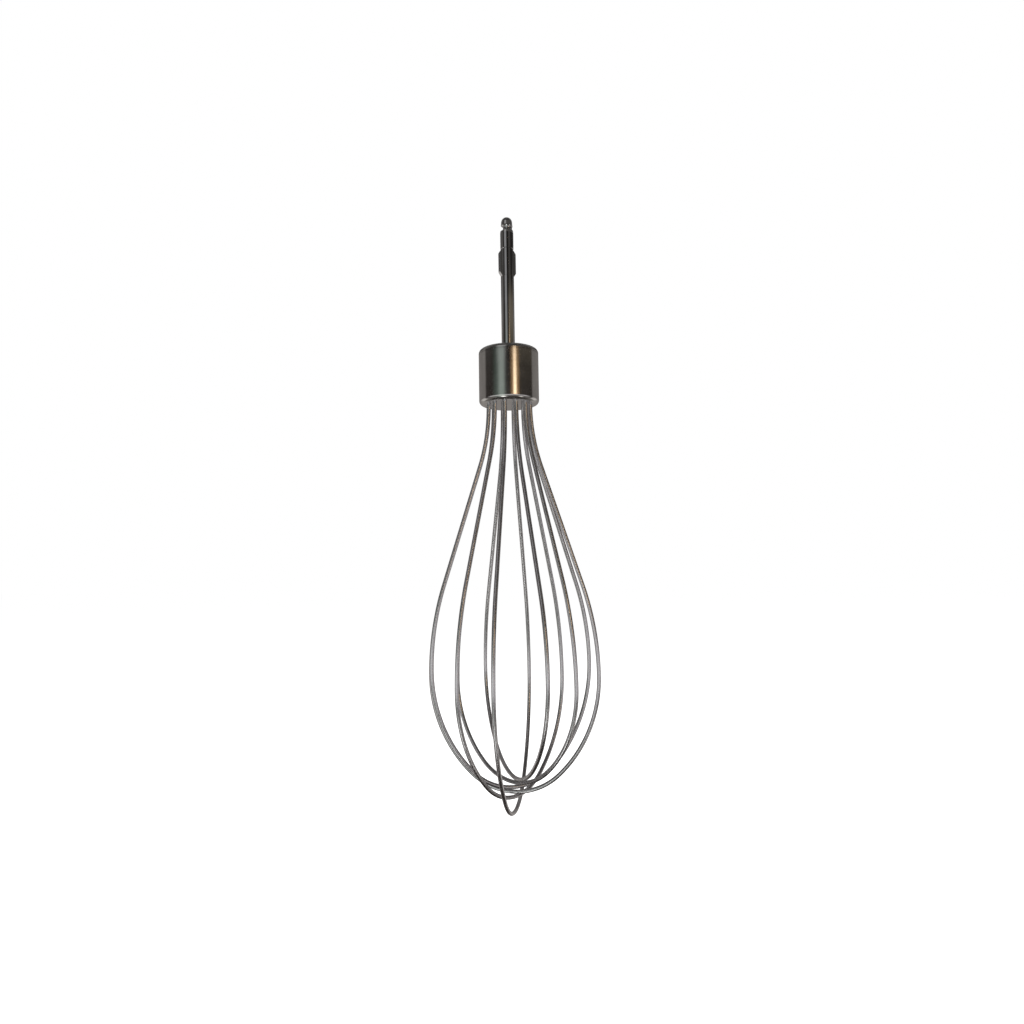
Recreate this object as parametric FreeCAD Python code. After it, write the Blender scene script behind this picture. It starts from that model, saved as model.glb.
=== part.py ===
import FreeCAD, Part
import math
import os

# Balloon whisk attachment of a hand mixer: a drive shaft, a steel collar and six crossed wire loops.
# Lengths are millimetres and angles are degrees. +Z points up the drive shaft, and the balloon hangs
# below. The origin is on the shaft's axis, halfway along the plain seat above the drive lugs.

# Drive shaft: the end that the mixer's spindle takes.
shaft_diameter = 5.7
seat_length = 7.0              # plain stretch above the lugs
ball_diameter = 4.8            # rounded tip
ball_rise = 4.9                # from the seat's upper end to the ball's centre
notch_root_diameter = 3.9      # what the snap notch leaves of the shaft
notch_shift = 0.36             # how far the notch's axis stands off the shaft's axis
notch_profile_radius = 1.5
notch_rise = 2.3               # from the seat's upper end to the notch's middle
lug_setback = 0.4              # from the seat's lower end to the lugs
lug_pinch = 0.2                # pressing the lugs out squeezes the bar's radius by this much
lug_pinch_slope = 0.15
lug_height = 1.0               # how far each drive lug stands out of the shaft
lug_thickness = 1.8
lug_length = 12.0
lug_slope = 1.8                # length of the slope at each end of a lug
lug_edge_radius = 0.35
lug_turn = 20.0                # from the X axis to the lugs
shaft_run = 32.5               # bare shaft between the lugs and the collar

# Collar: a drawn cup with a cap pressed in.
collar_diameter = 25.6
collar_height = 23.9
collar_wall = 0.8
cup_fillet = 1.8
cap_thickness = 2.2
cap_fillet = 1.8
cap_seam = 0.15                # open seam between the cup's rim and the cap
spigot_depth = 3.0
spigot_wall = 1.0
spigot_clearance = 0.05
cap_bore_clearance = 0.1

# Wire holder: the plastic core that the wire ends go through.
holder_height = 11.5
holder_clearance = 0.1         # around the core
holder_fillet = 1.2
edge_land = 3.7                # from the collar's outside to a wire's centre
wire_hole_clearance = 0.1
hook_bend_radius = 2.0
hook_tip_gap = 0.6             # air between the tips of neighbouring wires
shaft_end_gap = 0.7            # holder material left below the shaft
shaft_bore_clearance = 0.05

# Fasteners inside the collar.
pin_diameter = 2.0
pin_end_land = 0.7             # from a pin's end to the ring of wire channels
pin_height = 5.2               # above the holder's underside
pin_hole_clearance = 0.05
plate_gap = 0.05               # above the hooked wire ends
plate_thickness = 1.0
plate_bore_clearance = 0.1
clip_gap = 0.1
clip_thickness = 0.8
clip_groove_depth = 0.35
clip_groove_play = 0.05
clip_width = 1.7
clip_mouth = 3.0

# Wire balloon.
loop_count = 6
first_loop_angle = 15.0        # from the X axis to the first loop's plane
wire_diameter = 1.7
flare_radius = 88.0            # bend just below the collar
straight_length = 52.0         # straight stretch of a leg, above the belly
belly_radius = 35.5
belly_depth = 114.5            # from the collar's underside to the widest place
crown_drop = 40.7              # from there to the innermost loop's lowest place
crossing_gap = 0.2             # air between two wires where they cross

# Each loop is bent by hand, so it differs from the balloon above: its belly radius, its belly depth,
# its place in the crossing at the crown, from the innermost, and the extra length below its place.
loops = [
    (-1.0, -4.5, 2, 0.0),
    (-2.5, 2.5, 4, 0.0),
    (2.5, 1.0, 5, 4.0),
    (4.0, -1.5, 0, 0.0),
    (-3.0, 3.0, 1, 0.0),
    (0.0, -0.5, 3, 0.0),
]

# Places and sizes that follow from the values above.
shaft_radius = shaft_diameter / 2
collar_radius = collar_diameter / 2
cup_inner_radius = collar_radius - collar_wall
wire_radius = wire_diameter / 2
wire_circle_radius = collar_radius - edge_land

seat_top = seat_length / 2
seat_bottom = -seat_top
lug_top = seat_bottom - lug_setback
lug_bottom = lug_top - lug_length
collar_top = lug_bottom - shaft_run
collar_bottom = collar_top - collar_height
cap_bottom = collar_top - cap_thickness
spigot_bottom = cap_bottom - spigot_depth
rim_top = cap_bottom - cap_seam
holder_bottom = collar_bottom + collar_wall
holder_top = holder_bottom + holder_height
shaft_end = holder_bottom + shaft_end_gap
pin_level = holder_bottom + pin_height
plate_bottom = holder_top + wire_radius + plate_gap
clip_bottom = plate_bottom + plate_thickness + clip_gap
clip_groove_radius = shaft_radius - clip_groove_depth
nest_pitch = wire_diameter + crossing_gap
loop_step = 180.0 / loop_count
hook_end_radius = (wire_diameter + hook_tip_gap) / (2 * math.sin(math.radians(loop_step / 2)))
pin_length = 2 * (wire_circle_radius - wire_radius - wire_hole_clearance - pin_end_land)

UP = FreeCAD.Vector(0, 0, 1)
AXIS_START = FreeCAD.Vector(0, 0, 0)


def at(radius, level):
    """A point in the XZ plane, at a radius from the axis and a level above the origin."""
    return FreeCAD.Vector(radius, 0, level)


def cylinder(radius, bottom, top):
    """An upright cylinder on the shaft's axis."""
    return Part.makeCylinder(radius, top - bottom, at(0, bottom))


def revolve(edges):
    """A solid of revolution about the shaft's axis, from closed edges in the XZ plane."""
    face = Part.Face(Part.Wire(Part.__sortEdges__(edges)))
    return face.revolve(AXIS_START, UP, 360)


def line(start, end):
    """A straight edge."""
    return Part.LineSegment(start, end).toShape()


def arc(centre, radius, start, end):
    """A circular edge in the XZ plane, between two angles in radians from the X axis."""
    def spot(angle):
        return centre + FreeCAD.Vector(radius * math.cos(angle), 0, radius * math.sin(angle))
    return Part.Arc(spot(start), spot((start + end) / 2), spot(end)).toShape()


def turned(shape, angle):
    """A copy of a shape, turned about the shaft's axis."""
    copy = shape.copy()
    copy.rotate(AXIS_START, UP, angle)
    return copy


def edges_at(shape, radius, level):
    """The circular edges of a shape with this radius, at this level."""
    return [
        edge for edge in shape.Edges
        if isinstance(edge.Curve, Part.Circle)
        and abs(edge.Curve.Radius - radius) < 1e-6
        and abs(edge.Curve.Center.z - level) < 1e-6
    ]


def write(node, shape):
    """Write one sub-part, which is always a single closed solid."""
    solid = shape.removeSplitter()
    if solid.ShapeType != "Solid":
        solid = solid.Solids[0]
    solid.exportStep("parts/" + node + ".step")


def shaft_blank():
    """The bar: squeezed between the lugs, slightly conical above the seat, with a ball at its tip."""
    ball_radius = ball_diameter / 2
    ball_level = seat_top + ball_rise
    squeezed_radius = shaft_radius - lug_pinch
    corners = [
        at(0, shaft_end),
        at(shaft_radius, shaft_end),
        at(shaft_radius, lug_bottom),
        at(squeezed_radius, lug_bottom + lug_pinch_slope),
        at(squeezed_radius, seat_bottom - lug_pinch_slope),
        at(shaft_radius, seat_bottom),
        at(shaft_radius, seat_top),
        at(ball_radius, ball_level),
    ]
    edges = [line(start, end) for start, end in zip(corners, corners[1:])]
    edges.append(arc(at(0, ball_level), ball_radius, 0, math.pi / 2))
    edges.append(line(at(0, ball_level + ball_radius), corners[0]))
    return revolve(edges)


def snap_notch():
    """The cutter of the snap notch: a ring off the shaft's axis, so the notch is deep on one side."""
    ring_radius = notch_root_diameter / 2 + notch_profile_radius
    centre = FreeCAD.Vector(notch_shift, 0, seat_top + notch_rise)
    return Part.makeTorus(ring_radius, notch_profile_radius, centre, UP)


def drive_lug():
    """One of the two lugs: a flat wing with sloping ends and rounded long edges."""
    reach = shaft_radius + lug_height
    half = lug_thickness / 2
    outline = [
        at(0, lug_top),
        at(shaft_radius - lug_pinch, lug_top),
        at(reach, lug_top - lug_slope),
        at(reach, lug_bottom + lug_slope),
        at(shaft_radius - lug_pinch, lug_bottom),
        at(0, lug_bottom),
    ]
    face = Part.Face(Part.makePolygon(outline + outline[:1]))
    face.translate(FreeCAD.Vector(0, -half, 0))
    wing = face.extrude(FreeCAD.Vector(0, lug_thickness, 0))
    long_edges = [
        edge for edge in wing.Edges
        if abs(edge.BoundBox.XMin - reach) < 1e-6 and edge.BoundBox.ZLength > lug_thickness
    ]
    return wing.makeFillet(lug_edge_radius, long_edges)


def clip_groove():
    """The cutter of the groove that the retaining clip sits in."""
    bottom = clip_bottom - clip_groove_play
    top = clip_bottom + clip_thickness + clip_groove_play
    outside = cylinder(shaft_diameter, bottom, top)
    return outside.cut(cylinder(clip_groove_radius, bottom, top))


def cross_cylinder(radius, length):
    """A cylinder across the axis at the drive pin's level, midway between two wires."""
    start = FreeCAD.Vector(0, -length / 2, pin_level)
    return Part.makeCylinder(radius, length, start, FreeCAD.Vector(0, 1, 0))


def drive_shaft():
    """The shaft with its tip, notch, lugs, clip groove and cross hole."""
    shape = shaft_blank().cut(snap_notch())
    for side in (0, 180):
        shape = shape.fuse(turned(drive_lug(), lug_turn + side))
    shape = shape.cut(clip_groove())
    return shape.cut(cross_cylinder(pin_diameter / 2 + pin_hole_clearance, shaft_diameter * 2))


def wire_places():
    """The angles of the wire ends around the axis."""
    return [first_loop_angle + loop_step * number for number in range(2 * loop_count)]


def collar_cup():
    """The drawn cup: open at the top, with a rounded floor and a hole for each wire end."""
    outside = cylinder(collar_radius, collar_bottom, rim_top)
    outside = outside.makeFillet(cup_fillet, edges_at(outside, collar_radius, collar_bottom))
    inside = cylinder(cup_inner_radius, holder_bottom, rim_top + collar_wall)
    inside_fillet = cup_fillet - collar_wall
    inside = inside.makeFillet(inside_fillet, edges_at(inside, cup_inner_radius, holder_bottom))
    hole_radius = wire_radius + wire_hole_clearance
    centre = at(wire_circle_radius, collar_bottom - collar_wall)
    hole = Part.makeCylinder(hole_radius, 3 * collar_wall, centre)
    holes = [turned(hole, angle) for angle in wire_places()]
    return outside.cut([inside] + holes)


def collar_cap():
    """The cap: a rounded flange over the cup's rim, and a spigot inside it."""
    flange = cylinder(collar_radius, cap_bottom, collar_top)
    flange = flange.makeFillet(cap_fillet, edges_at(flange, collar_radius, collar_top))
    spigot_radius = cup_inner_radius - spigot_clearance
    spigot = cylinder(spigot_radius, spigot_bottom, cap_bottom)
    hollow = cylinder(spigot_radius - spigot_wall, spigot_bottom, cap_bottom)
    bore = cylinder(shaft_radius + cap_bore_clearance, cap_bottom, collar_top)
    return flange.cut(bore).fuse(spigot.cut(hollow))


def hook_path(run_out):
    """A wire end's centre line in the XZ plane, from its tip, over the holder and down.

    The tip is longer by run_out, and the straight leg ends at the collar's underside.
    """
    bend_centre = at(wire_circle_radius - hook_bend_radius, holder_top - hook_bend_radius)
    return [
        line(at(hook_end_radius - run_out, holder_top), at(bend_centre.x, holder_top)),
        arc(bend_centre, hook_bend_radius, math.pi / 2, 0),
        line(at(wire_circle_radius, bend_centre.z), at(wire_circle_radius, collar_bottom)),
    ]


def rod_along(edges, radius):
    """A round rod along joined edges that start level and head outwards."""
    path = Part.Wire(edges)
    start = edges[0].firstVertex().Point
    section = Part.Wire(Part.Circle(start, FreeCAD.Vector(1, 0, 0), radius).toShape())
    return path.makePipeShell([section], True, False)


def wire_holder():
    """The plastic core, moulded around the pinned shaft, with a channel for each wire end."""
    radius = cup_inner_radius - holder_clearance
    body = cylinder(radius, holder_bottom, holder_top)
    body = body.makeFillet(holder_fillet, edges_at(body, radius, holder_bottom))
    channel = rod_along(hook_path(wire_hole_clearance), wire_radius + wire_hole_clearance)
    channels = [turned(channel, angle) for angle in wire_places()]
    bore = cylinder(shaft_radius + shaft_bore_clearance, shaft_end, holder_top)
    pin_hole_length = pin_length + 2 * pin_hole_clearance
    cross_hole = cross_cylinder(pin_diameter / 2 + pin_hole_clearance, pin_hole_length)
    return body.cut(channels).cut([bore, cross_hole])


def drive_pin():
    """The pin that carries the shaft's torque into the holder."""
    return cross_cylinder(pin_diameter / 2, pin_length)


def clamp_plate():
    """The washer that keeps the hooked wire ends in their channels."""
    top = plate_bottom + plate_thickness
    plate = cylinder(wire_circle_radius, plate_bottom, top)
    return plate.cut(cylinder(shaft_radius + plate_bore_clearance, plate_bottom, top))


def retaining_clip():
    """The spring clip in the shaft's groove, open on one side."""
    top = clip_bottom + clip_thickness
    inner_radius = clip_groove_radius + clip_groove_play
    ring = cylinder(inner_radius + clip_width, clip_bottom, top)
    ring = ring.cut(cylinder(inner_radius, clip_bottom, top))
    corner = FreeCAD.Vector(0, -clip_mouth / 2, clip_bottom)
    mouth = Part.makeBox(collar_radius, clip_mouth, clip_thickness, corner)
    return ring.cut(mouth)


def leg_path(loop):
    """One leg of a loop, from the collar's underside to the middle of the crown.

    A flare, a straight stretch and the upper belly run tangent into each other, and two arcs close
    the loop: the lower belly and the crown.
    """
    radius_change, depth_change, place, extra = loop
    belly = belly_radius + radius_change
    belly_level = collar_bottom - belly_depth - depth_change
    crown_level = collar_bottom - belly_depth - crown_drop - place * nest_pitch - extra

    # The flare and the upper belly are joined by an inner tangent of the chosen length.
    out = belly - wire_circle_radius
    down = collar_bottom - belly_level
    both_radii = (out ** 2 + down ** 2 - straight_length ** 2) / (2 * out)
    upper_radius = both_radii - flare_radius
    slope = math.atan2(straight_length, -both_radii) - math.atan2(down, out - both_radii)
    flare_centre = at(wire_circle_radius + flare_radius, collar_bottom)
    upper_centre = at(belly - upper_radius, belly_level)
    flare = arc(flare_centre, flare_radius, math.pi, math.pi + slope)
    upper = arc(upper_centre, upper_radius, slope, 0)

    # The crown is as round as an ellipse of this width and depth. The lower belly starts upright and
    # meets the crown's arc where both have one tangent, on the line through their centres.
    drop = belly_level - crown_level
    crown_radius = belly ** 2 / drop
    lower_radius = (belly ** 2 + drop ** 2 - 2 * drop * crown_radius) / (2 * (belly - crown_radius))
    lower_centre = at(belly - lower_radius, belly_level)
    crown_centre = at(0, crown_level + crown_radius)
    offset = (crown_centre - lower_centre) * math.copysign(1, lower_radius - crown_radius)
    meeting = math.atan2(offset.z, offset.x)
    lower = arc(lower_centre, lower_radius, 0, meeting)
    crown = arc(crown_centre, crown_radius, meeting, -math.pi / 2)
    straight = line(flare.lastVertex().Point, upper.firstVertex().Point)
    return [flare, straight, upper, lower, crown]


def wire_loop(number):
    """One whole wire: two hooked ends and two legs that meet at the crown."""
    half = hook_path(0) + leg_path(loops[number])
    other_half = [edge.mirror(AXIS_START, FreeCAD.Vector(1, 0, 0)) for edge in reversed(half)]
    loop = rod_along(half + other_half, wire_radius)
    return turned(loop, first_loop_angle + loop_step * number)


def main():
    """Build every sub-part and write it to its own file."""
    os.makedirs("parts", exist_ok=True)
    write("drive_shaft", drive_shaft())
    write("collar_cup", collar_cup())
    write("collar_cap", collar_cap())
    write("wire_holder", wire_holder())
    write("drive_pin", drive_pin())
    write("clamp_plate", clamp_plate())
    write("retaining_clip", retaining_clip())
    for number in range(loop_count):
        write("wire_loop_" + str(number + 1), wire_loop(number))


main()
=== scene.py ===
import logging
import math
from dataclasses import dataclass, field
from enum import Enum

import bpy
import numpy as np
from mathutils import Matrix, Vector


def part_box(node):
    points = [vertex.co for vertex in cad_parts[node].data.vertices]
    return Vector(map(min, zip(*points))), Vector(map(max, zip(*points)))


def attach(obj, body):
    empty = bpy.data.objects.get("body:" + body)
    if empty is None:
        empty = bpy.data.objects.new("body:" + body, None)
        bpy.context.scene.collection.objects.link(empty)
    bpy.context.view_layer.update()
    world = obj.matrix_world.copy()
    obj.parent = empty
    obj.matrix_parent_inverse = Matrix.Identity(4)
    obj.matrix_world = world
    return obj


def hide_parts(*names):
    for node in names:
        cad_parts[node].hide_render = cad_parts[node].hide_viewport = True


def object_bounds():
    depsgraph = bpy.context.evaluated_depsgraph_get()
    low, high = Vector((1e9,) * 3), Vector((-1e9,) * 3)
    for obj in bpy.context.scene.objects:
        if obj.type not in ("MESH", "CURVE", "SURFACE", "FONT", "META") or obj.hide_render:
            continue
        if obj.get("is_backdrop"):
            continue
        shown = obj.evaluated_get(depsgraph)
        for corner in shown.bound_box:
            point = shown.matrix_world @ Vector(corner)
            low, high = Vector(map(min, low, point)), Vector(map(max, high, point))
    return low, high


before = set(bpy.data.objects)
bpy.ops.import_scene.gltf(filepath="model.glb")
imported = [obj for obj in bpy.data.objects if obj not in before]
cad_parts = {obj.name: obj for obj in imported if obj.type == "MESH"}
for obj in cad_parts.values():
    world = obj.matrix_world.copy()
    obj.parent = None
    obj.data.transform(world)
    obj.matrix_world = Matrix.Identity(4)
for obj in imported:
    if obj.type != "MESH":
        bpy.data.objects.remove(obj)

# Balloon whisk attachment: its wires, finishes and studio. Every length is in metres, in the frame
# of the CAD model: +Z runs up the drive shaft, and the balloon hangs below the collar.

LOG = logging.getLogger("whisk")
ROOT = "root"

# A noise texture's values lie mostly between these two, and the sum of two between the next two.
NOISE_LOW, NOISE_HIGH = 0.3, 0.7
NOISE_SUM_LOW, NOISE_SUM_HIGH = 0.7, 1.3

# Steel: cells per metre of its cloudy patches, a grain line's width over its length, and the
# octaves of finer noise in the patches and in the lines.
CLOUD_CELLS = (220.0, 220.0, 160.0)
GRAIN_LINE_RATIO = 0.01
CLOUD_DETAIL = 4.0
STREAK_DETAIL = 2.0

# The attribute that holds each point's place on the straightened wire.
WIRE_ATTRIBUTE = "straight_wire"

# The attribute that holds the tent's light.
TENT_ATTRIBUTE = "panel_light"


class Node(Enum):
    """The CAD nodes that this script dresses or stands in for."""

    SHAFT = "drive_shaft"
    CUP = "collar_cup"
    CAP = "collar_cap"
    HOLDER = "wire_holder"
    PIN = "drive_pin"
    PLATE = "clamp_plate"
    CLIP = "retaining_clip"


class Slot(Enum):
    """The record's material slots for new pieces; nothing in the script uses them."""

    WIRE = "wire_steel"


# --- Shader building ----------------------------------------------------------


class NodeTree:
    """A short way to write a material's node tree."""

    def __init__(self, material: bpy.types.Material) -> None:
        """Start an empty tree with an output.

        Args:
            material: the material whose nodes are replaced.
        """
        material.use_nodes = True
        self.tree = material.node_tree
        self.tree.nodes.clear()
        self.output = self.tree.nodes.new("ShaderNodeOutputMaterial")

    def add(self, kind: str, **settings: object) -> bpy.types.Node:
        """Add a node.

        Args:
            kind: the node's type name, without "ShaderNode".
            settings: the node's own properties.

        Returns:
            The new node.
        """
        node = self.tree.nodes.new("ShaderNode" + kind)
        for name, value in settings.items():
            setattr(node, name, value)
        return node

    def link(self, source: bpy.types.NodeSocket, target: bpy.types.NodeSocket) -> None:
        """Join an output socket to an input socket."""
        self.tree.links.new(source, target)

    def noise(
        self,
        place: bpy.types.NodeSocket,
        stretch: tuple[float, float, float],
        detail: float = 3.0,
    ) -> bpy.types.NodeSocket:
        """A noise whose cells are stretched along the axes.

        Args:
            place: the coordinates it is read at.
            stretch: cells per metre along each axis.
            detail: octaves of finer noise.

        Returns:
            The noise's value, about 0.5 on average.
        """
        mapping = self.add("Mapping")
        mapping.inputs["Scale"].default_value = stretch
        texture = self.add("TexNoise")
        texture.inputs["Scale"].default_value = 1.0
        texture.inputs["Detail"].default_value = detail
        self.link(place, mapping.inputs["Vector"])
        self.link(mapping.outputs["Vector"], texture.inputs["Vector"])
        return texture.outputs["Fac"]

    def spread(
        self,
        value: bpy.types.NodeSocket,
        low: float,
        high: float,
        start: float = NOISE_LOW,
        end: float = NOISE_HIGH,
    ) -> bpy.types.NodeSocket:
        """Carry a value from one range onto another, in a straight line.

        Args:
            value: what is carried.
            low: the result at the range's start.
            high: the result at the range's end.
            start: where the value's range starts.
            end: where the value's range ends.

        Returns:
            The result.
        """
        ranged = self.add("MapRange")
        ranged.inputs["From Min"].default_value = start
        ranged.inputs["From Max"].default_value = end
        ranged.inputs["To Min"].default_value = low
        ranged.inputs["To Max"].default_value = high
        self.link(value, ranged.inputs["Value"])
        return ranged.outputs["Result"]

    def tint(
        self,
        value: bpy.types.NodeSocket,
        dark: tuple[float, float, float],
        light: tuple[float, float, float],
    ) -> bpy.types.NodeSocket:
        """Turn a noise into a colour between two colours.

        Args:
            value: the noise's value.
            dark: the colour where it is low.
            light: the colour where it is high.

        Returns:
            The colour.
        """
        ramp = self.add("ValToRGB")
        ends = ramp.color_ramp.elements
        ends[0].position, ends[0].color = NOISE_LOW, (*dark, 1.0)
        ends[1].position, ends[1].color = NOISE_HIGH, (*light, 1.0)
        self.link(value, ramp.inputs["Fac"])
        return ramp.outputs["Color"]


class Grain(Enum):
    """Which way a steel's fine lines run."""

    AROUND = "around the axis"
    ALONG_WIRE = "along the wire"


@dataclass(frozen=True)
class SteelFinish:
    """Stainless steel with fine lines, cloudy roughness and a few worn patches.

    Attributes:
        name: the material's name.
        grain: which way its lines run.
        light: its reflectance where it is clean.
        dark: its reflectance where it is dull.
        smooth: the lowest roughness.
        rough: the highest roughness.
        lines: lines per metre across the grain.
        line_depth: how deep the lines look.
    """

    name: str
    grain: Grain
    light: tuple[float, float, float]
    dark: tuple[float, float, float]
    smooth: float
    rough: float
    lines: float
    line_depth: float

    def streak_cells(self) -> tuple[float, float, float]:
        """The grain's cells per metre along X, Y and Z, narrow across the grain and long with it.

        Returns:
            Lines stacked along Z for a grain that runs around, and across X and Y for one that runs
            along the straightened wire.
        """
        lengthwise = self.lines * GRAIN_LINE_RATIO
        if self.grain is Grain.AROUND:
            return (lengthwise, lengthwise, self.lines)
        return (self.lines, self.lines, lengthwise)

    def material(self) -> bpy.types.Material:
        """Build the material.

        Returns:
            A Principled metal whose colour, roughness and bump follow the grain.
        """
        material = bpy.data.materials.new(self.name)
        nodes = NodeTree(material)
        shader = nodes.add("BsdfPrincipled")
        nodes.link(shader.outputs["BSDF"], nodes.output.inputs["Surface"])
        shader.inputs["Metallic"].default_value = 1.0
        if self.grain is Grain.ALONG_WIRE:
            place = nodes.add("Attribute", attribute_name=WIRE_ATTRIBUTE).outputs["Vector"]
        else:
            place = nodes.add("TexCoord").outputs["Object"]

        clouds = nodes.noise(place, CLOUD_CELLS, detail=CLOUD_DETAIL)
        nodes.link(nodes.tint(clouds, self.dark, self.light), shader.inputs["Base Color"])

        streaks = nodes.noise(place, self.streak_cells(), detail=STREAK_DETAIL)
        both = nodes.add("Math", operation="ADD")
        nodes.link(clouds, both.inputs[0])
        nodes.link(streaks, both.inputs[1])
        rough = nodes.spread(
            both.outputs["Value"], self.smooth, self.rough, NOISE_SUM_LOW, NOISE_SUM_HIGH
        )
        nodes.link(rough, shader.inputs["Roughness"])

        bump = nodes.add("Bump")
        bump.inputs["Strength"].default_value = 1.0
        bump.inputs["Distance"].default_value = self.line_depth
        nodes.link(streaks, bump.inputs["Height"])
        nodes.link(bump.outputs["Normal"], shader.inputs["Normal"])
        return material


@dataclass(frozen=True)
class MouldedFinish:
    """Moulded plastic with a faint mottle and an eggshell surface.

    Attributes:
        name: the material's name.
        colour: its lightest colour.
        shade: its darkest colour.
        roughness: its middle roughness.
        roughness_change: how far the roughness goes either side, as a share.
        mottle_cells: mottled patches per metre.
        grain_cells: bumps per metre.
        grain_depth: how deep the bumps look.
    """

    name: str
    colour: tuple[float, float, float]
    shade: tuple[float, float, float]
    roughness: float
    roughness_change: float = 0.15
    mottle_cells: float = 400.0
    grain_cells: float = 3000.0
    grain_depth: float = 0.00002

    def material(self) -> bpy.types.Material:
        """Build the material.

        Returns:
            A Principled plastic whose colour, roughness and bump vary.
        """
        material = bpy.data.materials.new(self.name)
        nodes = NodeTree(material)
        shader = nodes.add("BsdfPrincipled")
        nodes.link(shader.outputs["BSDF"], nodes.output.inputs["Surface"])
        place = nodes.add("TexCoord").outputs["Object"]
        mottle = nodes.noise(place, (self.mottle_cells,) * 3)
        nodes.link(nodes.tint(mottle, self.shade, self.colour), shader.inputs["Base Color"])
        low = self.roughness * (1.0 - self.roughness_change)
        high = self.roughness * (1.0 + self.roughness_change)
        nodes.link(nodes.spread(mottle, low, high), shader.inputs["Roughness"])
        bump = nodes.add("Bump")
        bump.inputs["Distance"].default_value = self.grain_depth
        nodes.link(nodes.noise(place, (self.grain_cells,) * 3), bump.inputs["Height"])
        nodes.link(bump.outputs["Normal"], shader.inputs["Normal"])
        return material


BAR_STEEL = SteelFinish(
    name="ground_bar_steel",
    grain=Grain.AROUND,
    light=(0.60, 0.60, 0.60),
    dark=(0.52, 0.52, 0.51),
    smooth=0.05,
    rough=0.10,
    lines=4000.0,
    line_depth=0.0000003,
)
SHEET_STEEL = SteelFinish(
    name="satin_sheet_steel",
    grain=Grain.AROUND,
    light=(0.64, 0.63, 0.61),
    dark=(0.56, 0.55, 0.53),
    smooth=0.13,
    rough=0.19,
    lines=3000.0,
    line_depth=0.0000006,
)
WIRE_STEEL = SteelFinish(
    name="drawn_wire_steel",
    grain=Grain.ALONG_WIRE,
    light=(0.72, 0.71, 0.72),
    dark=(0.60, 0.59, 0.60),
    smooth=0.21,
    rough=0.30,
    lines=3500.0,
    line_depth=0.0000002,
)
FASTENER_STEEL = SteelFinish(
    name="plain_fastener_steel",
    grain=Grain.AROUND,
    light=(0.58, 0.58, 0.57),
    dark=(0.50, 0.50, 0.49),
    smooth=0.25,
    rough=0.38,
    lines=4000.0,
    line_depth=0.000003,
)
HOLDER_PLASTIC = MouldedFinish(
    name="natural_moulded_plastic",
    colour=(0.84, 0.84, 0.81),
    shade=(0.78, 0.78, 0.75),
    roughness=0.5,
)


def dress(node: Node, finish: bpy.types.Material) -> None:
    """Give a CAD node a finish.

    Args:
        node: the CAD node.
        finish: the material that takes the place of its own.
    """
    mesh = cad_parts[node.value].data
    mesh.materials.clear()
    mesh.materials.append(finish)
    LOG.info("dressed %s in %s", node.value, finish.name)


# --- The wires ----------------------------------------------------------------


def run_points(start: np.ndarray, end: np.ndarray, count: int) -> np.ndarray:
    """Points of a straight run: start plus t times the way to the end, for t from 0 to 1."""
    share = np.linspace(0.0, 1.0, count)[:, None]
    return start + share * (end - start)


def arc_points(
    centre: np.ndarray, radius: float, start: float, end: float, count: int
) -> np.ndarray:
    """Points of an arc: centre plus radius times (cos a, sin a), for a from start to end."""
    angle = np.linspace(start, end, count)
    return centre + radius * np.column_stack([np.cos(angle), np.sin(angle)])


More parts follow.
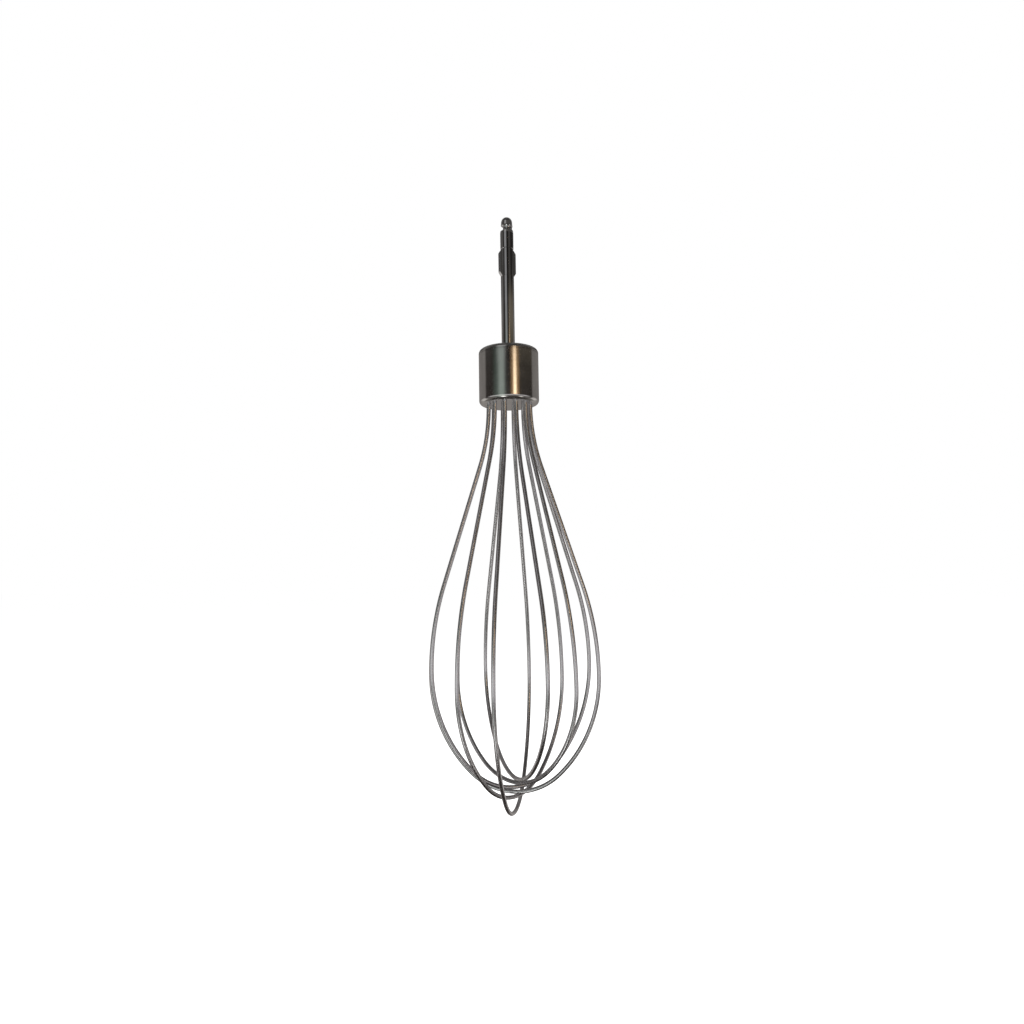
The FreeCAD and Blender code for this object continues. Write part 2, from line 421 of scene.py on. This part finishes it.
@dataclass
class WireLoop:
    """One wire of the balloon, from one hooked end in the collar, round the crown, to the other.

    Attributes:
        name: the CAD node that it stands for.
        plane_angle: from the X axis to the loop's plane, in radians.
        belly_level: the height of its widest place.
        wire_radius: half the wire's thickness.
        exit_radius: from the shaft's axis to the wire where it leaves the collar.
        exit_level: the height of the collar's underside.
        hook_level: the height of the hooked end.
        hook_end_radius: from the shaft's axis to the wire's tip.
        hook_bend_radius: the bend over the holder.
        flare_radius: the bend just below the collar.
        straight_length: the straight stretch above the belly.
        ring_spacing: how far apart the skin's rings are, along the wire.
        sides: points around each ring.
        tip_rings: rings that round each cut end.
        hook_points: points of the hooked end's level run, its bend and its run down.
        leg_points: points of the flare, the straight stretch, the upper and lower belly and the
            crown.
    """

    name: str
    plane_angle: float
    belly_level: float
    wire_radius: float
    exit_radius: float
    exit_level: float
    hook_level: float
    hook_end_radius: float
    hook_bend_radius: float = 0.002
    flare_radius: float = 0.088
    straight_length: float = 0.052
    ring_spacing: float = 0.0006
    sides: int = 28
    tip_rings: int = 5
    hook_points: tuple[int, int, int] = (6, 12, 20)
    leg_points: tuple[int, int, int, int, int] = (60, 40, 80, 90, 90)

    def frame_size(self) -> tuple[float, float]:
        """Where the CAD node's box puts the wire's centre line.

        Returns:
            The belly's radius and the crown's level.
        """
        low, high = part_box(self.name)
        across = (high.x - low.x) / 2 - self.wire_radius
        if abs(math.cos(self.plane_angle)) < abs(math.sin(self.plane_angle)):
            across = (high.y - low.y) / 2 - self.wire_radius
        widest = max(abs(math.cos(self.plane_angle)), abs(math.sin(self.plane_angle)))
        return across / widest, low.z + self.wire_radius

    def hook(self) -> list[np.ndarray]:
        """The hooked end: a level run, a quarter bend and the run down to the collar's underside.

        Returns:
            The three stretches, each as (radius, level) points.
        """
        for_level, for_bend, for_down = self.hook_points
        bend_centre = np.array([self.exit_radius, self.hook_level]) - self.hook_bend_radius
        tip = np.array([self.hook_end_radius, self.hook_level])
        bend = arc_points(bend_centre, self.hook_bend_radius, math.pi / 2, 0.0, for_bend)
        down = run_points(bend[-1], np.array([self.exit_radius, self.exit_level]), for_down)
        return [run_points(tip, bend[0], for_level), bend[1:], down[1:]]

    def leg(self) -> list[np.ndarray]:
        """One leg, from the collar's underside to the middle of the crown.

        The flare's arc and the upper belly's arc are joined by an inner tangent of the chosen
        length. The lower belly starts upright, and meets the crown's arc where both have one
        tangent. The crown is as round as an ellipse of the same width and depth: belly squared over
        drop.

        Returns:
            Its five stretches, each as (radius, level) points.
        """
        for_flare, for_straight, for_upper, for_lower, for_crown = self.leg_points
        belly, crown_level = self.frame_size()
        out = belly - self.exit_radius
        down = self.exit_level - self.belly_level
        both_radii = (out**2 + down**2 - self.straight_length**2) / (2 * out)
        upper_radius = both_radii - self.flare_radius
        slope = math.atan2(self.straight_length, -both_radii) - math.atan2(down, out - both_radii)
        flare_centre = np.array([self.exit_radius + self.flare_radius, self.exit_level])
        upper_centre = np.array([belly - upper_radius, self.belly_level])
        flare = arc_points(flare_centre, self.flare_radius, math.pi, math.pi + slope, for_flare)
        upper = arc_points(upper_centre, upper_radius, slope, 0.0, for_upper)

        drop = self.belly_level - crown_level
        crown_radius = belly**2 / drop
        lower_radius = belly**2 + drop**2 - 2 * drop * crown_radius
        lower_radius /= 2 * (belly - crown_radius)
        lower_centre = np.array([belly - lower_radius, self.belly_level])
        crown_centre = np.array([0.0, crown_level + crown_radius])
        offset = (crown_centre - lower_centre) * math.copysign(1.0, lower_radius - crown_radius)
        meeting = math.atan2(offset[1], offset[0])
        lower = arc_points(lower_centre, lower_radius, 0.0, meeting, for_lower)
        crown = arc_points(crown_centre, crown_radius, meeting, -math.pi / 2, for_crown)
        straight = run_points(flare[-1], upper[0], for_straight)
        return [flare[1:], straight[1:], upper[1:], lower[1:], crown[1:]]

    def centre_line(self) -> tuple[np.ndarray, np.ndarray]:
        """The whole wire, evenly spaced.

        Returns:
            (radius, level) points one ring spacing apart, and each one's length along the wire.
        """
        half = np.vstack(self.hook() + self.leg())
        other = half[-2::-1] * np.array([-1.0, 1.0])
        points = np.vstack([half, other])
        steps = np.hypot(*np.diff(points, axis=0).T)
        travelled = np.concatenate([[0.0], np.cumsum(steps)])
        count = int(round(travelled[-1] / self.ring_spacing)) + 1
        along = np.linspace(0.0, travelled[-1], count)
        radius = np.interp(along, travelled, points[:, 0])
        level = np.interp(along, travelled, points[:, 1])
        return np.column_stack([radius, level]), along

    def surface(self) -> tuple[np.ndarray, np.ndarray]:
        """The wire's skin on a grid of rings by sides.

        Each ring is the centre line's point plus the wire's radius times (cos t across the line in
        its plane, plus sin t across the plane). The first and last few rings shrink as a quarter
        circle does, which rounds the cut ends.

        Returns:
            Points in the part's frame, and the same points on the straightened wire, each as an
            array of rings by sides by three.
        """
        line, along = self.centre_line()
        tangent = np.gradient(line, along, axis=0)
        tangent /= np.linalg.norm(tangent, axis=1, keepdims=True)
        across = np.column_stack([tangent[:, 1], -tangent[:, 0]])
        outwards = np.array([math.cos(self.plane_angle), math.sin(self.plane_angle), 0.0])
        sideways = np.array([-math.sin(self.plane_angle), math.cos(self.plane_angle), 0.0])
        upwards = np.array([0.0, 0.0, 1.0])

        rounding = np.linspace(0.0, math.pi / 2, self.tip_rings + 1)[1:]
        thickness = np.full(len(along), self.wire_radius)
        thickness[: self.tip_rings] = self.wire_radius * np.sin(rounding)
        thickness[-self.tip_rings :] = thickness[: self.tip_rings][::-1]

        turn = np.linspace(0.0, 2 * math.pi, self.sides, endpoint=False)
        in_plane = thickness[:, None] * np.cos(turn)
        off_plane = thickness[:, None] * np.sin(turn)
        flat = line[:, None, :] + in_plane[:, :, None] * across[:, None, :]
        points = flat[..., :1] * outwards + flat[..., 1:] * upwards
        points = points + off_plane[..., None] * sideways
        lengths = np.broadcast_to(along[:, None], in_plane.shape)
        return points, np.stack([in_plane, off_plane, lengths], axis=-1)

    def build(self, finish: bpy.types.Material) -> bpy.types.Object:
        """Make the wire's mesh, dress it and let it stand for its CAD node.

        Args:
            finish: the wire's material.

        Returns:
            The wire's object.
        """
        points, straight = self.surface()
        obj = tube_object(self.name + "_skin", points, finish)
        attribute = obj.data.attributes.new(WIRE_ATTRIBUTE, "FLOAT_VECTOR", "POINT")
        attribute.data.foreach_set("vector", straight.reshape(-1).astype(np.float32))
        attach(obj, ROOT)
        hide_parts(self.name)
        LOG.info("built %s with %d rings", obj.name, len(points))
        return obj


def tube_object(name: str, points: np.ndarray, finish: bpy.types.Material) -> bpy.types.Object:
    """A closed tube from a grid of rings by sides.

    Args:
        name: the object's name.
        points: rings by sides by three, each ring joined to the next and closed on itself.
        finish: its material.

    Returns:
        The new object, smooth, with one flat face at each end.
    """
    rings, sides = points.shape[:2]
    index = np.arange(rings * sides).reshape(rings, sides)
    following = np.roll(index, -1, axis=1)
    quads = np.stack([index[:-1], following[:-1], following[1:], index[1:]], axis=-1).reshape(-1, 4)
    faces = quads.tolist() + [index[0][::-1].tolist(), index[-1].tolist()]
    mesh = bpy.data.meshes.new(name)
    mesh.from_pydata(points.reshape(-1, 3).tolist(), [], faces)
    mesh.update()
    mesh.polygons.foreach_set("use_smooth", np.ones(len(mesh.polygons), dtype=bool))
    mesh.materials.append(finish)
    obj = bpy.data.objects.new(name, mesh)
    bpy.context.scene.collection.objects.link(obj)
    return obj


@dataclass
class Balloon:
    """The six crossed wires.

    Attributes:
        first_angle: from the X axis to the first loop's plane, in degrees.
        belly_depths: from the collar's underside to each loop's widest place.
        wire_diameter: the wire's thickness.
        edge_land: from the collar's outside to a wire's centre.
        hook_tip_gap: air between the tips of neighbouring wires.
    """

    first_angle: float = 15.0
    belly_depths: tuple[float, ...] = (0.110, 0.117, 0.1155, 0.113, 0.1175, 0.114)
    wire_diameter: float = 0.0017
    edge_land: float = 0.0037
    hook_tip_gap: float = 0.0006

    def loops(self) -> list[WireLoop]:
        """The loops, with their places taken from the collar and the holder.

        Returns:
            One loop for each belly depth.
        """
        cup_low, cup_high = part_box(Node.CUP.value)
        count = len(self.belly_depths)
        step = math.pi / count
        tip_radius = (self.wire_diameter + self.hook_tip_gap) / (2 * math.sin(step / 2))
        return [
            WireLoop(
                name=f"wire_loop_{number + 1}",
                plane_angle=math.radians(self.first_angle) + step * number,
                belly_level=cup_low.z - depth,
                wire_radius=self.wire_diameter / 2,
                exit_radius=cup_high.x - self.edge_land,
                exit_level=cup_low.z,
                hook_level=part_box(Node.HOLDER.value)[1].z,
                hook_end_radius=tip_radius,
            )
            for number, depth in enumerate(self.belly_depths)
        ]

    def build(self) -> None:
        """Build and dress every wire."""
        finish = WIRE_STEEL.material()
        for loop in self.loops():
            loop.build(finish)


# --- The shaft, the collar and what it holds ----------------------------------


@dataclass
class Shaft:
    """The drive shaft."""

    finish: SteelFinish = BAR_STEEL

    def build(self) -> None:
        """Dress the shaft."""
        dress(Node.SHAFT, self.finish.material())


@dataclass
class Collar:
    """The cup, its cap and the pieces sealed inside."""

    shell: SteelFinish = SHEET_STEEL
    fasteners: SteelFinish = FASTENER_STEEL
    core: MouldedFinish = HOLDER_PLASTIC

    def build(self) -> None:
        """Dress the collar's pieces."""
        shell = self.shell.material()
        fasteners = self.fasteners.material()
        dress(Node.CUP, shell)
        dress(Node.CAP, shell)
        dress(Node.HOLDER, self.core.material())
        for node in (Node.PIN, Node.PLATE, Node.CLIP):
            dress(node, fasteners)


# --- The studio ---------------------------------------------------------------


@dataclass(frozen=True)
class Panel:
    """One soft panel of the light tent.

    Attributes:
        left: its left edge, in degrees round from the camera, to the right positive.
        right: its right edge.
        bottom: its lower edge, in degrees above the horizon.
        top: its upper edge.
        colour: its light.
        edge: how wide its soft edge is at the sides, in degrees.
        fade: how wide its soft edge is at the top and bottom.
    """

    left: float
    right: float
    bottom: float
    top: float
    colour: tuple[float, float, float]
    edge: float = 5.0
    fade: float = 6.0

    def light(self, turn: np.ndarray, rise: np.ndarray) -> np.ndarray:
        """Its light at each direction: its colour times two soft windows, one round and one up.

        Args:
            turn: degrees round from the camera.
            rise: degrees above the horizon.

        Returns:
            The light as red, green and blue, in a last axis of its own.
        """
        round_window = smooth_window(turn, self.left, self.right, self.edge)
        up_window = smooth_window(rise, self.bottom, self.top, self.fade)
        return (round_window * up_window)[..., None] * np.array(self.colour)


def smooth_window(value: np.ndarray, low: float, high: float, edge: float) -> np.ndarray:
    """1 between low and high and 0 outside, with a smooth step (3t^2 - 2t^3) over each edge.

    Args:
        value: where it is read.
        low: the middle of the lower edge.
        high: the middle of the upper edge.
        edge: how wide each edge is.

    Returns:
        The window at each value.
    """
    rise = np.clip((value - low) / edge + 0.5, 0.0, 1.0)
    fall = np.clip((high - value) / edge + 0.5, 0.0, 1.0)
    return (rise**2 * (3 - 2 * rise)) * (fall**2 * (3 - 2 * fall))


@dataclass
class Studio:
    """The camera, the pale floor and the soft light.

    Attributes:
        camera_distance: from the shaft's axis to the camera.
        camera_side: how far the camera stands to the right.
        camera_height: the camera's level.
        camera_turn: how far it stands round the axis, in degrees.
        camera_tilt: how far it looks up, in degrees.
        camera_roll: its roll, in degrees.
        camera_lens: its focal length, in millimetres.
        camera_sensor: its sensor's width, in millimetres.
        camera_clip: the nearest and farthest that it sees.
        floor_gap: from the balloon down to the floor.
        floor_radius: half the floor's width.
        floor_sides: corners of the floor's outline.
        floor_roughness: the floor's roughness.
        tent_radius: half the light tent's width.
        tent_steps: degrees between the tent's points, round and up.
        softbox_size: the overhead light's width.
        softbox_power: its power, in watts.
        softbox_height: its level.
        surround: the tent's light where it has no panel.
        panels: the tent's panels.
    """

    camera_distance: float = 0.3365
    camera_side: float = 0.0005
    camera_height: float = -0.1483
    camera_turn: float = -3.88
    camera_tilt: float = 5.11
    camera_roll: float = -0.852
    camera_lens: float = 28.125
    camera_sensor: float = 36.0
    camera_clip: tuple[float, float] = (0.01, 100.0)
    floor_gap: float = 0.20
    floor_radius: float = 40.0
    floor_sides: int = 96
    floor_roughness: float = 0.9
    tent_radius: float = 4.0
    tent_steps: tuple[float, float] = (1.0, 1.5)
    softbox_size: float = 2.5
    softbox_power: float = 60.0
    softbox_height: float = 2.2
    surround: tuple[float, float, float] = (0.016, 0.014, 0.013)
    panels: tuple[Panel, ...] = field(
        default_factory=lambda: (
            # The dim room, below the level of the high windows.
            Panel(-180.0, 180.0, -90.0, 17.0, (0.020, 0.017, 0.015), fade=6.0),
            # A cool window to the left with a soft outer edge, the sky above it and dim walls.
            Panel(-58.0, -15.0, -50.0, 18.0, (0.055, 0.090, 0.075), edge=24.0),
            Panel(-39.0, -17.0, -50.0, 18.0, (0.24, 0.275, 0.255), edge=10.0),
            Panel(-48.0, -10.0, 18.0, 46.0, (0.33, 0.33, 0.34), edge=9.0),
            Panel(-125.0, -60.0, 18.0, 46.0, (0.035, 0.033, 0.032), edge=24.0),
            Panel(-118.0, -76.0, 18.5, 30.0, (0.08, 0.077, 0.075), edge=12.0, fade=2.0),
            # A warm lamp to the right of the camera, and its glow.
            Panel(17.5, 28.5, 8.0, 17.3, (2.6, 2.02, 1.40), edge=6.0, fade=2.0),
            Panel(8.0, 39.0, 8.0, 18.0, (0.32, 0.18, 0.07), edge=9.0, fade=3.0),
            # The olive wall above the lamp, and the dim one above that.
            Panel(12.0, 100.0, 18.0, 21.5, (0.17, 0.145, 0.105), edge=6.0, fade=2.0),
            Panel(25.0, 65.0, 20.5, 32.0, (0.055, 0.053, 0.051), edge=12.0, fade=3.0),
            # A pale band at the height of the belly, and the dimmer ground below it.
            Panel(-80.0, 80.0, -14.0, 2.0, (0.70, 0.68, 0.70), edge=30.0, fade=8.0),
            Panel(-180.0, 180.0, -50.0, -20.0, (0.13, 0.125, 0.12), fade=12.0),
            # Two small low lights.
            Panel(-35.0, -17.0, -58.0, -33.0, (2.0, 1.95, 1.95), edge=6.0, fade=5.0),
            Panel(46.0, 62.0, -44.0, -32.0, (1.5, 1.45, 1.4), edge=6.0, fade=5.0),
            # Grey walls behind, paler to the sides than in the middle.
            Panel(100.0, 260.0, -35.0, 22.0, (0.20, 0.19, 0.185), fade=8.0),
            Panel(-260.0, -100.0, -35.0, 22.0, (0.20, 0.19, 0.185), fade=8.0),
            Panel(104.0, 136.0, -32.0, -2.0, (0.40, 0.39, 0.38), edge=20.0, fade=10.0),
            Panel(-136.0, -104.0, -32.0, -2.0, (0.40, 0.39, 0.38), edge=20.0, fade=10.0),
            Panel(140.0, 220.0, -26.0, -4.0, (0.06, 0.055, 0.05), edge=20.0, fade=8.0),
            Panel(-220.0, -140.0, -26.0, -4.0, (0.06, 0.055, 0.05), edge=20.0, fade=8.0),
            # The upper walls behind.
            Panel(100.0, 260.0, 28.0, 90.0, (0.15, 0.147, 0.145), edge=40.0, fade=10.0),
            Panel(-260.0, -100.0, 28.0, 90.0, (0.15, 0.147, 0.145), edge=40.0, fade=10.0),
            # A dim high strip and ceiling.
            Panel(-70.0, 90.0, 30.0, 44.0, (0.09, 0.085, 0.08), edge=30.0, fade=8.0),
            Panel(-180.0, 180.0, 44.0, 90.0, (0.04, 0.04, 0.04), fade=10.0),
        )
    )

    def place_camera(self) -> None:
        """Put the camera in front of the object, tilted and rolled by its small angles."""
        data = bpy.data.cameras.new("studio_camera")
        data.lens = self.camera_lens
        data.sensor_width = self.camera_sensor
        data.clip_start, data.clip_end = self.camera_clip
        camera = bpy.data.objects.new("studio_camera", data)
        bpy.context.scene.collection.objects.link(camera)
        turn = Matrix.Rotation(math.radians(self.camera_turn), 4, "Z")
        place = Vector((self.camera_side, -self.camera_distance, self.camera_height))
        look_level = Matrix.Rotation(math.radians(90.0 + self.camera_tilt), 4, "X")
        roll = Matrix.Rotation(math.radians(self.camera_roll), 4, "Z")
        camera.matrix_world = turn @ Matrix.Translation(place) @ look_level @ roll
        bpy.context.scene.camera = camera

    def lay_floor(self) -> None:
        """A round pale floor well below the balloon."""
        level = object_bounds()[0].z - self.floor_gap
        turn = np.linspace(0.0, 2 * math.pi, self.floor_sides, endpoint=False)
        rim = np.column_stack([np.cos(turn), np.sin(turn)]) * self.floor_radius
        points = np.column_stack([rim, np.full(len(turn), level)])
        mesh = bpy.data.meshes.new("floor")
        mesh.from_pydata(points.tolist(), [], [list(range(len(turn)))])
        floor = bpy.data.objects.new("floor", mesh)
        bpy.context.scene.collection.objects.link(floor)
        material = bpy.data.materials.new("pale_floor")
        nodes = NodeTree(material)
        shader = nodes.add("BsdfPrincipled")
        shader.inputs["Base Color"].default_value = (1.0, 1.0, 1.0, 1.0)
        shader.inputs["Roughness"].default_value = self.floor_roughness
        shader.inputs["Specular IOR Level"].default_value = 0.0
        nodes.link(shader.outputs["BSDF"], nodes.output.inputs["Surface"])
        mesh.materials.append(material)
        floor.visible_glossy = False
        floor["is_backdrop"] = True

    def raise_tent(self) -> None:
        """The light tent: a sphere of soft panels on a dark surround, seen only by reflection.

        A point of the sphere at turn a and rise b is the radius times (sin a cos b, -cos a cos b,
        sin b), with a counted from the camera's side.
        """
        turn_step, rise_step = self.tent_steps
        turn = np.radians(np.arange(-180.0, 180.0, turn_step))
        rise = np.radians(np.arange(-90.0, 90.0 + rise_step / 2, rise_step))
        turn_grid, rise_grid = np.meshgrid(turn, rise)
        facing = turn_grid + math.radians(self.camera_turn)
        flat = np.cos(rise_grid)
        points = self.tent_radius * np.stack(
            [np.sin(facing) * flat, -np.cos(facing) * flat, np.sin(rise_grid)], axis=-1
        )
        low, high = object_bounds()
        points = points + np.array([0.0, 0.0, (low.z + high.z) / 2])
        light = np.broadcast_to(np.array(self.surround), points.shape).copy()
        for panel in self.panels:
            light += panel.light(np.degrees(turn_grid), np.degrees(rise_grid))

        material = bpy.data.materials.new("tent_panels")
        nodes = NodeTree(material)
        glow = nodes.add("Emission")
        colour = nodes.add("Attribute", attribute_name=TENT_ATTRIBUTE)
        nodes.link(colour.outputs["Color"], glow.inputs["Color"])
        nodes.link(glow.outputs["Emission"], nodes.output.inputs["Surface"])
        material.cycles.emission_sampling = "NONE"
        tent = tube_object("light_tent", points, material)
        attribute = tent.data.attributes.new(TENT_ATTRIBUTE, "FLOAT_COLOR", "POINT")
        rgba = np.concatenate([light, np.ones((*light.shape[:2], 1))], axis=-1)
        attribute.data.foreach_set("color", rgba.reshape(-1).astype(np.float32))
        tent.visible_camera = False
        tent.visible_diffuse = False
        tent.visible_shadow = False
        tent.visible_transmission = False
        tent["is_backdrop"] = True

    def light(self) -> None:
        """A white world and one broad soft light from above."""
        world = bpy.data.worlds.new("studio_world")
        world.use_nodes = True
        background = world.node_tree.nodes["Background"]
        background.inputs["Color"].default_value = (1.0, 1.0, 1.0, 1.0)
        background.inputs["Strength"].default_value = 1.0
        bpy.context.scene.world = world
        data = bpy.data.lights.new("overhead_softbox", "AREA")
        data.shape = "DISK"
        data.size = self.softbox_size
        data.energy = self.softbox_power
        lamp = bpy.data.objects.new("overhead_softbox", data)
        lamp.location = (0.0, 0.0, self.softbox_height)
        lamp.visible_glossy = False
        lamp.visible_camera = False
        bpy.context.scene.collection.objects.link(lamp)

    def build(self) -> None:
        """Set up the camera, the floor, the tent and the light."""
        bpy.context.scene.view_settings.view_transform = "Standard"
        self.place_camera()
        self.lay_floor()
        self.raise_tent()
        self.light()
        LOG.info("built the studio")


def main() -> None:
    """Build the whisk's looks in order."""
    logging.basicConfig(level=logging.INFO, format="%(name)s: %(message)s")
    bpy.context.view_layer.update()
    Studio().build()
    Shaft().build()
    Collar().build()
    Balloon().build()


if __name__ == "__main__":
    main()
